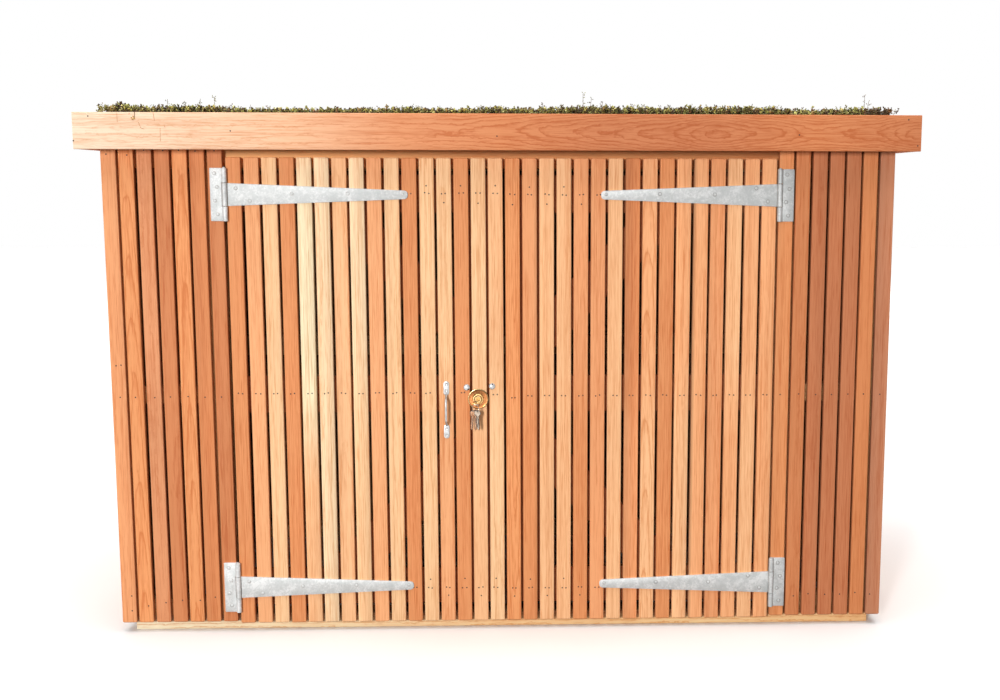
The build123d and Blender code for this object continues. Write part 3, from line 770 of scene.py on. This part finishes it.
def bolt(bag, x, z, share=1):
    """A low domed bolt head on a hinge, with a thin ring of painted shade round it."""
    turned(bag, [(r * share, h) for r, h in BOLT_SHADE_RING], (x, FRONT - METAL, z), 1, segments=20)
    turned(bag, [(r * share, h * share) for r, h in BOLT], (x, FRONT - METAL, z), segments=18)


def zinc_light_falloff(bag, level, slope):
    """Painted light: the zinc is brightest at the lower left, and its tone falls off to the right and upwards, as the
    light does.
    """
    values = [level - slope * x - 0.06 * (z - 0.64) for x, _, z in bag.points]
    bag.values["tone"] = [(v, v, v, 1) for v in values]


# The rings round the bolts are painted shade, lighter on the left hinges than on the right.
for side, label, hinge_ring_shade in ((-1, "left", soft_ring_shade), (1, "right", dark_ring_shade)):
    straps, plates = Bag(), Bag()
    axis = HINGE_ASIDE + side * HINGE_OUT
    for z in HINGE_LEVELS:
        plate(straps, [(axis - side * out, z + up) for out, up in STRAP_FORM], FRONT, METAL, EASE)
        knuckle(straps, axis, z - ROOT_HALF, 2 * ROOT_HALF)
        for out, up in STRAP_BOLTS[side]:
            bolt(straps, axis - side * out, z + up)
        for out, up, share in BLADE_BOLTS:
            bolt(straps, axis - side * out, z + up, share)
        plate(plates, [(axis + side * out, z + up) for out, up in PLATE_FORM], FRONT, METAL, EASE)
        for foot in (z - PLATE_HALF, z + NOTCH_HALF):
            knuckle(plates, axis, foot, PLATE_HALF - NOTCH_HALF)
        turned(plates, PIN_CAP, (axis, HINGE_Y, z + PLATE_HALF), axis="z", segments=16)
        for out, up in PLATE_BOLTS[side]:
            bolt(plates, axis + side * out, z + up)
    zinc_light_falloff(straps, 0.875, 0.03)
    zinc_light_falloff(plates, 0.845, 0.13)
    metals = [galvanised, hinge_ring_shade]
    straps.build(f"tee_straps_{label}", f"{label}_door", "galvanised", metals, [f"{label}_hinge_straps"])
    plates.build(f"tee_plates_{label}", "shelter", "galvanised", metals, [f"{label}_hinge_plates"])

# Pull handle: two rounded pads with screws, and a bent rod between them.
HANDLE_X, HANDLE_Z = -0.1505, 0.596
PAD_OUT, PAD_HALF, PAD_ROUND, PAD_THICK = 0.05725, 0.01125, 0.0075, 0.003
SCREW_HALF, SCREW_OUT = 0.0085, 0.002
# A grey ring under each screw head: painted shade.
SCREW_SHADE_RING = mm((4.6, 0), (4.6, 0.2), (2.8, 0.2))
SCREW = mm((3.2, 0), (3.2, 0.5), (2.3, 1), (0.9, 0.6))
ROD, BEND, ROD_Y, ROD_HALF, FOOT_Y, FOOT_HALF = 0.0033, 0.011, -0.526, 0.031, -0.5015, 0.041
bag = Bag()
for end in (-1, 1):
    pad = HANDLE_Z + end * PAD_OUT
    outline = arc(HANDLE_X, pad + PAD_HALF, PAD_ROUND, 0, 180, 12)
    outline += arc(HANDLE_X, pad - PAD_HALF, PAD_ROUND, 180, 360, 12)
    plate(bag, outline, FRONT, PAD_THICK, 0.0009, steps=3)
    for up in (-SCREW_HALF, SCREW_HALF):
        spot = (HANDLE_X, FRONT - PAD_THICK, pad + end * SCREW_OUT + up)
        turned(bag, SCREW_SHADE_RING, spot, 1, segments=20)
        turned(bag, SCREW, spot, segments=16)
turns = [radians(a) for a in range(0, 91, 10)]
half = [(FOOT_Y, FOOT_HALF)]
half += [(ROD_Y + BEND * (1 - sin(a)), ROD_HALF - BEND * (1 - cos(a))) for a in turns]
rod = [(HANDLE_X, y, HANDLE_Z - up) for y, up in half] + [(HANDLE_X, y, HANDLE_Z + up) for y, up in reversed(half)]
tube(bag, rod, ROD, segments=16)
bag.build("handle", "left_door", "zinc", [zinc, soft_ring_shade], ["pull_handle"])

# Lock: a turned brass rose with its boss and keyway, given as radius and height in mm and tone, two coach bolts
# beside it, and the keys.
LOCK_X, LOCK_Z, CYLINDER, CYLINDER_LONG, ROSE_STEPS = -0.068, 0.6249, 0.011, 0.041, 64
BRIGHT, GOLD, COPPER, TARNISH = (242, 216, 158), (208, 162, 98), (206, 138, 86), (110, 68, 38)
ROSE = [(27, 0, COPPER), (27, 2.2, GOLD), (26.6, 3, BRIGHT), (25.6, 3.6, BRIGHT), (24.6, 3.6, TARNISH),
        (23.8, 3.3, COPPER), (19, 3.6, COPPER), (15.2, 4, COPPER), (14.2, 4, TARNISH), (13.6, 4.6, GOLD),
        (13.5, 8, GOLD), (12.8, 8.8, BRIGHT), (11.2, 9, GOLD), (10.4, 9, COPPER), (10, 8.3, TARNISH),
        (8.6, 8.3, TARNISH), (8.1, 9, BRIGHT), (5, 9, GOLD), (1, 9, GOLD)]
FLAT_LOW, FLAT_HIGH = 14, 25
COACH = mm((8.6, 0), (8.6, 0.9), (8, 2.4), (6.2, 3.8), (3.6, 4.6), (1, 4.9))
PIT = mm((2.1, 0), (2.1, 1.9), (0.6, 1.8))
bag = Bag()
tones = []
# Painted reflections: the rose's flat is darker at its top and lighter at its left, and its rim is dark but for a
# painted highlight at the upper left.
for radius, _, tone in ROSE:
    for i in range(ROSE_STEPS):
        turn = 2 * pi * i / ROSE_STEPS
        painted_reflection = 1
        if FLAT_LOW < radius < FLAT_HIGH:
            painted_reflection = 0.9 - 0.62 * max(sin(turn - 0.25), 0) + 0.25 * max(-cos(turn - 0.6), 0)
        elif radius > FLAT_HIGH:
            painted_reflection = 0.36 + 0.6 * max(cos(turn - 2.6), 0)
        tones.append(tuple(v * painted_reflection for v in lin(*tone)[:3]) + (1,))
turned(bag, mm(*(row[:2] for row in ROSE)), (LOCK_X, FRONT, LOCK_Z), segments=ROSE_STEPS, tone=tones)
turned(bag, [(CYLINDER, 0), (CYLINDER, CYLINDER_LONG)], (LOCK_X, FRONT + CYLINDER_LONG, LOCK_Z), segments=32,
       tone=[lin(*GOLD)] * 64)
bag.build("lock_rose", "left_door", "brass", [brass], ["lock_cylinder"])
bag = Bag()
for x, z, pit_x, pit_z in ((-0.0976, 0.655, 0.004, -0.0042), (-0.0317, 0.6577, 0.0002, 0.0054)):
    turned(bag, COACH, (x, FRONT, z), segments=28)
    turned(bag, PIT, (x + pit_x, FRONT - 0.0028, z + pit_z), 1, segments=12)
bag.build("coach_bolts", "left_door", "zinc", [zinc, nail_steel])

KEY_THICK, SHOULDER, CUT_TOP, CUT_STEP = 0.002, -0.0145, -0.019, 0.0036
CUTS = (0.0038, 0.002, 0.0034, 0.0016, 0.0032, 0.0022, 0.003, 0.0016)
KEY_FORM = arc(0, -0.006, 0.0084, 246, -66, 22) + [(0.004, SHOULDER)]
KEY_FORM += [(cut, CUT_TOP - CUT_STEP * k) for k, cut in enumerate(CUTS)]
KEY_FORM += [(0.0006, -0.05), (-0.0018, -0.0496), (-0.0038, -0.046), (-0.004, SHOULDER)]
GROOVE = mm((-0.7, -17), (0.7, -17), (0.5, -44), (-0.5, -44))
EYE = mm((1.9, 0), (1.9, 0.1), (0.4, 0.1))


def key(bag, x, z, angle, look, y):
    """A loose key that hangs by its eye: a round bow, a shoulder and a blade with a groove and cuts along one edge."""
    c, s = cos(radians(angle)), sin(radians(angle))
    form, groove = ([(x + a * c - b * s, z + a * s + b * c) for a, b in line] for line in (KEY_FORM, GROOVE))
    # The key's edges, its eye and its groove are drawn in a dark grey: painted shade.
    plate(bag, form, y, KEY_THICK, 0.0012, look, 1, 2)
    turned(bag, EYE, (x, y - KEY_THICK, z), 2, segments=12)
    plate(bag, groove, y - 0.0019, 0.0002, 0.0001, 2, 1)


# The key in the lock shows its bow edge on, and a ring through it holds the others.
BOW_Y, BOW_Z, BLADE_HALF, BLADE_IN, BLADE_OUT = -0.5285, 0.616, 0.004, -0.505, -0.517
RING_X, RING_Z, RING_WIDE, RING_HIGH, RING_WAVE = -0.0745, 0.605, 0.0085, 0.0095, 0.0008
bag = Bag()
form = [(BLADE_HALF, BLADE_IN), (BLADE_HALF, BLADE_OUT)] + arc(-0.0047, BOW_Y, 0.0092, 52, -232, 26)
form += [(-BLADE_HALF, BLADE_OUT), (-BLADE_HALF, BLADE_IN)]
bag.add([(LOCK_X + x, y, BOW_Z + 0.1 * x + s * 0.0013) for s in (1, -1) for x, y in form], skin(2, len(form)))
turns = [radians(a) for a in range(0, 360, 10)]
ring = [(RING_X + RING_WIDE * cos(a), BOW_Y + RING_WAVE * sin(3 * a), RING_Z + RING_HIGH * sin(a))
        for a in turns]
tube(bag, ring, 0.0008, 0, 8, closed=True)
key(bag, -0.0748, 0.5975, 2.5, 1, -0.525)
key(bag, -0.0806, 0.597, -3.3, 1, -0.5272)
key(bag, -0.0698, 0.598, 4.5, 0, -0.5294)
bag.build("keys", "left_door", "key_metal", [nickel, bronze, key_shade], ["key_bunch"])


# Planted roof. The mat's ground is a lumpy sheet, and the plants are seeded sprigs of fleshy leaves.
BED_DEEP = 0.058


def roof_level(y):
    """Height of the growing medium's top at one depth."""
    return deck_level(y) + BED_DEEP


MAT_X, MAT_Y, NX, NY = 0.998, 0.489, 200, 98
MAT_THICK, MAT_LUMP, MAT_EDGE, WAVES = 0.009, 0.0032, 0.012, 110
rows = np.random.default_rng(5)
gx, gy = np.meshgrid(np.linspace(-MAT_X, MAT_X, NX), np.linspace(-MAT_Y, MAT_Y, NY))
lump = np.zeros_like(gx)
for _ in range(60):
    wx, wy, phase = rows.uniform(-WAVES, WAVES), rows.uniform(-WAVES, WAVES), rows.uniform(0, 6.28)
    lump += np.sin(gx * wx + gy * wy + phase)
lump = lump / lump.std()
rim = np.minimum(MAT_X - abs(gx), MAT_Y - abs(gy))
gz = roof_level(gy) + (MAT_THICK + MAT_LUMP * lump) * np.clip(rim / MAT_EDGE, 0, 1)
points = list(zip(gx.ravel(), gy.ravel(), gz.ravel()))
points += [(x, y, roof_level(y)) for x, y in ((-MAT_X, -MAT_Y), (MAT_X, -MAT_Y), (MAT_X, MAT_Y), (-MAT_X, MAT_Y))]
faces = [(j * NX + i, j * NX + i + 1, (j + 1) * NX + i + 1, (j + 1) * NX + i)
         for j in range(NY - 1) for i in range(NX - 1)]
faces.append(tuple(NX * NY + corner for corner in (3, 2, 1, 0)))
bag = Bag()
bag.add(points, faces, 0)
bag.build("sedum_ground", "shelter", "sedum", [moss], ["sedum_mat"], 60)

# Leaves: their tones and shares, and the height of the planting in mm along the front, from left to right.
GREENS = np.array([lin(184, 178, 106), lin(156, 154, 86), lin(206, 198, 138), lin(122, 118, 66), lin(172, 146, 94),
                   lin(150, 112, 80), lin(104, 84, 60)])
GREEN_SHARES = (0.28, 0.22, 0.15, 0.15, 0.09, 0.04, 0.07)
# A dark brown that about a third of the leaves take: partly dry leaves, partly painted shade between the leaves.
DARK_LEAF = np.array(lin(88, 68, 48))
PROFILE = (18, 20, 24, 23, 18, 17, 18, 18, 19, 19, 22, 19, 21, 23, 20, 22, 27, 26, 24, 24, 26, 27, 25, 21, 21, 25, 23)
PROFILE_X = np.linspace(-0.978, 0.968, len(PROFILE))
LEAF_POINTS = np.array([(0, 0, 0), (0.55, 0.5, 0), (0.55, -0.5, 0), (1, 0, 0.05), (0.55, 0, 0.38), (0.5, 0, -0.34)])
LEAF_FACES = np.array([(0, 1, 4), (1, 3, 4), (3, 2, 4), (2, 0, 4), (1, 0, 5), (3, 1, 5), (2, 3, 5), (0, 2, 5)])
MOUND_X, MOUND_WIDE, MOUND_HIGH, DRY_X = -0.974, 0.036, 0.011, 0.945


def leaf_points(roots, turn, rise, long, wide):
    """Points of leaves that grow from their roots, each turned and raised its own way."""
    ahead = np.stack([np.cos(turn) * np.cos(rise), np.sin(turn) * np.cos(rise), np.sin(rise)], 1)
    side = np.stack([-np.sin(turn), np.cos(turn), np.zeros(len(turn))], 1)
    form = roots[:, None]
    for axis, way, size in ((0, ahead, long), (1, side, wide), (2, np.cross(ahead, side), wide)):
        form = form + LEAF_POINTS[None, :, axis, None] * way[:, None] * size[:, None, None]
    return form.reshape(-1, 3)


def plants(name, places, seed, leaf_long):
    """Short stems, each with fleshy leaves that crowd into a round head at its top."""
    rows = np.random.default_rng(seed)
    points, tones = [], []
    for (x, y), height, count, tint in zip(*places):
        t = rows.uniform(0, 1, count) ** 0.55
        turn = np.arange(count) * 2.4 + rows.uniform(0, 6.28)
        lean = rows.normal(0, 0.22, 2)
        lean[0] -= 0.4 * (x < -0.985)
        long = rows.uniform(*leaf_long) * rows.uniform(0.75, 1.1, count)
        wide = long * rows.uniform(0.7, 1)
        rise = np.radians(rows.uniform(-25, 80, count))
        lift = height * (0.4 + 0.6 * t)
        stem = np.stack([x + lean[0] * lift, y + lean[1] * lift, roof_level(y) + 0.003 + lift], 1)
        points.append(leaf_points(stem, turn, rise, long, wide))
        # Painted shade: leaves low on a stem are darker, and about a third are dark brown, partly dry leaves and partly
        # painted shade.
        shade = (0.45 + 0.65 * t)[:, None] * rows.choice((0.9, 1.3, 1.8), (count, 1), p=(0.45, 0.35, 0.2))
        tone = np.where(rows.random((count, 1)) < 0.32, DARK_LEAF[None, :3], tint[None, :3] * shade)
        tone = np.concatenate([tone, np.ones((count, 1))], 1)
        tones.append(np.repeat(tone, len(LEAF_POINTS), 0))
    points = np.concatenate(points)
    starts = np.arange(0, len(points), len(LEAF_POINTS))
    faces = (LEAF_FACES[None] + starts[:, None, None]).reshape(-1, 3)
    mesh = bpy.data.meshes.new(name)
    mesh.vertices.add(len(points))
    mesh.vertices.foreach_set("co", points.astype(np.float32).ravel())
    mesh.loops.add(faces.size)
    mesh.loops.foreach_set("vertex_index", faces.astype(np.int32).ravel())
    mesh.polygons.add(len(faces))
    mesh.polygons.foreach_set("loop_start", np.arange(0, faces.size, 3, np.int32))
    put_values(mesh, "tone", np.concatenate(tones))
    mesh.update(calc_edges=True)
    mesh.validate()
    place_mesh(mesh, name, "shelter", [leaf], (), 80)


def scatter(seed, x_low, x_high, y_low, y_high, step):
    """Jittered places over part of the roof, with a height, a count of leaves and a tint each."""
    rows = np.random.default_rng(seed)
    gx, gy = np.meshgrid(np.arange(x_low, x_high, step), np.arange(y_low, y_high, step))
    spots = np.stack([gx.ravel(), gy.ravel()], 1) + rows.uniform(-0.5, 0.5, (gx.size, 2)) * step
    x = spots[:, 0]
    heights = MM * np.interp(x, PROFILE_X, PROFILE) + rows.normal(0, 0.0035, len(spots))
    heights = np.clip(heights, 0.008, 0.032) + MOUND_HIGH * np.exp(-((x - MOUND_X) / MOUND_WIDE) ** 2)
    tints = GREENS[rows.choice(len(GREENS), len(spots), p=GREEN_SHARES)]
    dry = x > DRY_X + rows.normal(0, 0.02, len(spots))
    tints[dry] = GREENS[rows.choice((5, 6, 6), int(dry.sum()))]
    return spots, heights, rows.integers(9, 15, len(spots)), tints


# Beds of plants: seeds of places and leaves, ends along the roof, then depth, spacing and length of leaves.
FIELDS, FRONTS = ((-1, -0.5), (-0.5, 0), (0, 0.5), (0.5, 1.002)), ((-1.004, 0), (0, 1.006))
BEDS = (("field", 60, 40, FIELDS, (-0.36, 0.49), 0.0176, (0.0055, 0.0095)),
        ("front", 80, 50, FRONTS, (-0.496, -0.36), 0.0112, (0.0048, 0.0075)))
for bed, place_seed, leaf_seed, parts, depth, step, leaf_long in BEDS:
    for k, ends in enumerate(parts):
        plants(f"sedum_{bed}_{k}", scatter(place_seed + k, *ends, *depth, step), leaf_seed + k, leaf_long)

# Shoots along the front edge, as x, height and lean: thin branched stems with small round leaves. A sprig hangs over,
# and fine roots lie on the fascia.
STEM, ROOT, SPRIG_LEAF = lin(118, 92, 58), lin(206, 140, 92), lin(216, 176, 92)
SHOOT_Y, SHOOT_X, ROOT_Y = -0.488, 0.99, -0.5512
SHOOTS = [(-0.995, 0.034, -0.8), (-0.842, 0.047, 0.1), (-0.797, 0.043, -0.2), (-0.76, 0.048, 0.1),
          (-0.725, 0.053, 0), (-0.69, 0.034, 0.3), (-0.64, 0.034, 0.5), (0.1, 0.042, 0.1), (0.15, 0.04, -0.1),
          (0.204, 0.066, 0), (0.222, 0.055, 0.2), (0.25, 0.046, 0.3), (0.33, 0.04, -0.2), (0.928, 0.062, 0),
          (0.935, 0.05, 0.3), (1, 0.026, 0.8)]
SPRIG = [(-0.9055, -0.506, 1.362), (-0.906, -0.54, 1.36), (-0.906, -0.5515, 1.356), (-0.9062, -0.5518, 1.342)]
SPRIG_X, SPRIG_Y, SPRIG_Z = -0.9085, -0.553, 1.341
ROOTS = (((-0.9494, 1.3539), (-0.9492, 1.3316)), ((-0.9189, 1.3548), (-0.92, 1.3499)),
         ((-0.8977, 1.3318), (-0.8922, 1.3176), (-0.8842, 1.3148)), ((-0.8609, 1.355), (-0.8584, 1.336)),
         ((-0.8454, 1.3178), (-0.846, 1.2852)), ((-0.8349, 1.3239), (-0.8331, 1.3186)))


def leaflet(bag, root, long, tint):
    """One small leaf at a point, turned any way."""
    turn, rise, size = (np.array([v]) for v in (rng.uniform(0, 6.28), rng.uniform(-0.5, 1.3), long))
    form = leaf_points(np.array([root]), turn, rise, size, 0.9 * size)
    bag.add(form, LEAF_FACES.tolist(), 0, tone=[tuple(tint)] * len(form))


def stalk(bag, path, radius, tint):
    start = len(bag.points)
    tube(bag, path, radius, 0, 5)
    bag.values.setdefault("tone", []).extend([tint] * (len(bag.points) - start))


bag = Bag()
shoots = SHOOTS + [(stray(SHOOT_X), 0, stray(0.6)) for _ in range(110)]
for x, height, lean in shoots:
    height = height or MM * (7 + float(np.interp(x, PROFILE_X, PROFILE)) + rng.uniform(0, 6))
    y = SHOOT_Y + rng.uniform(0, 0.012)
    z = roof_level(y)
    stalk(bag, [(x + 0.35 * lean * height * t * t, y, z + height * t) for t in np.linspace(0, 1, 6)], 0.0005, STEM)
    tint = GREENS[rng.randrange(7)] * 0.8
    for _ in range(5 if height < 0.04 else 8):
        t = rng.uniform(0.55, 1)
        root = Vector((x + 0.35 * lean * height * t * t, y, z + height * t))
        tip = root + Vector((stray(0.006), stray(0.004), rng.uniform(-0.001, 0.003)))
        stalk(bag, [root, tip], 0.0003, STEM)
        leaflet(bag, tip, rng.uniform(0.003, 0.0046), tint)
stalk(bag, SPRIG, 0.0007, STEM)
for _ in range(9):
    leaflet(bag, (SPRIG_X + rng.uniform(-0.005, 0.004), SPRIG_Y, SPRIG_Z + stray(0.004)), 0.0042, SPRIG_LEAF)
for path in ROOTS:
    stalk(bag, [(x, ROOT_Y, z) for x, z in path], 0.0005, ROOT)
bag.build("sedum_shoots", "shelter", "sedum", [leaf], (), 80)

# Camera, at the photograph's place. Its frame is 1000 by 700.
YAW, TILT, ROLL, STAND = 0.04319, 0.15166, -0.00305, (0.05148, -4.07451, 1.27034)
camera_data = bpy.data.cameras.new("camera")
camera_data.lens, camera_data.sensor_width = 50, 36
camera_data.shift_x, camera_data.shift_y = -0.08323, 0.01097
camera = new_object("camera", camera_data)
forward = Vector((sin(YAW) * cos(TILT), cos(YAW) * cos(TILT), -sin(TILT)))
right = Vector((cos(YAW), -sin(YAW), 0))
down = forward.cross(right)
right, down = cos(ROLL) * right + sin(ROLL) * down, cos(ROLL) * down - sin(ROLL) * right
view = Matrix((right, -down, -forward)).transposed().to_4x4()
view.translation = STAND
camera.matrix_world = view
scene.camera = camera

# Floor and light: a soft key from the front left, weaker lamps at the sides and back, and a top light. Floor and
# background look pale, and throw less light than they seem to.
FLOOR = 14
mesh = bpy.data.meshes.new("floor")
corners = [(-FLOOR, -FLOOR, 0), (FLOOR, -FLOOR, 0), (FLOOR, FLOOR, 0), (-FLOOR, FLOOR, 0)]
mesh.from_pydata(corners, [], [(0, 1, 2, 3)])
floor = new_object("floor", mesh)
g = Graph("floor_paper", roughness=0.85, specular=0.1)
speck = g.noise(g.place(), 3, 3)
pale_paper = g.ramp(speck, (0.3, lin(250, 249, 248)), (0.7, lin(252, 251, 250)))
grey_paper = g.ramp(speck, (0.3, lin(106, 104, 102)), (0.7, lin(110, 108, 106)))
mesh.materials.append(g.finish(g.mix(g.seen(), grey_paper, pale_paper)))
floor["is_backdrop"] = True


def lamp(name, kind, power, way):
    """A light that shines one way."""
    data = bpy.data.lights.new(name, kind)
    data.energy = power
    made = new_object(name, data)
    made.rotation_mode = "QUATERNION"
    made.rotation_quaternion = Vector(way).to_track_quat("-Z", "Y")
    return made


LAMPS = (
    ("key", (-2.9, -10, 2.6), (0.1, -0.5, 0.7), (1, 2.4), 775),
    ("left", (-10, 0.9, 1.1), (-1, 0, 0.7), (1.6, 1.6), 330),
    ("right", (10, 0.9, 1.1), (1, 0, 0.7), (1.6, 1.6), 330),
    ("back", (0.6, 10, 1.1), (0, 0.5, 0.7), (1.6, 1.6), 400),
)
for name, place, target, size, power in LAMPS:
    soft = lamp(name, "AREA", power, Vector(target) - Vector(place))
    soft.location = place
    soft.data.shape = "RECTANGLE"
    soft.data.size, soft.data.size_y = size
lamp("top", "SUN", 2.95, (0, 0.06, -1)).data.angle = radians(70)

world = bpy.data.worlds.new("world")
world.use_nodes = True
w = Nodes(world.node_tree)
ground = w.tree.nodes["Background"]
ground.inputs["Color"].default_value = (1, 1, 1, 1)
strength = w.node("ShaderNodeMapRange", {"Value": w.seen(), "To Min": 0.11, "To Max": 1})
w.put(ground.inputs["Strength"], strength.outputs[0])
scene.world = world
scene.view_settings.view_transform = "Standard"

low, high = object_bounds()
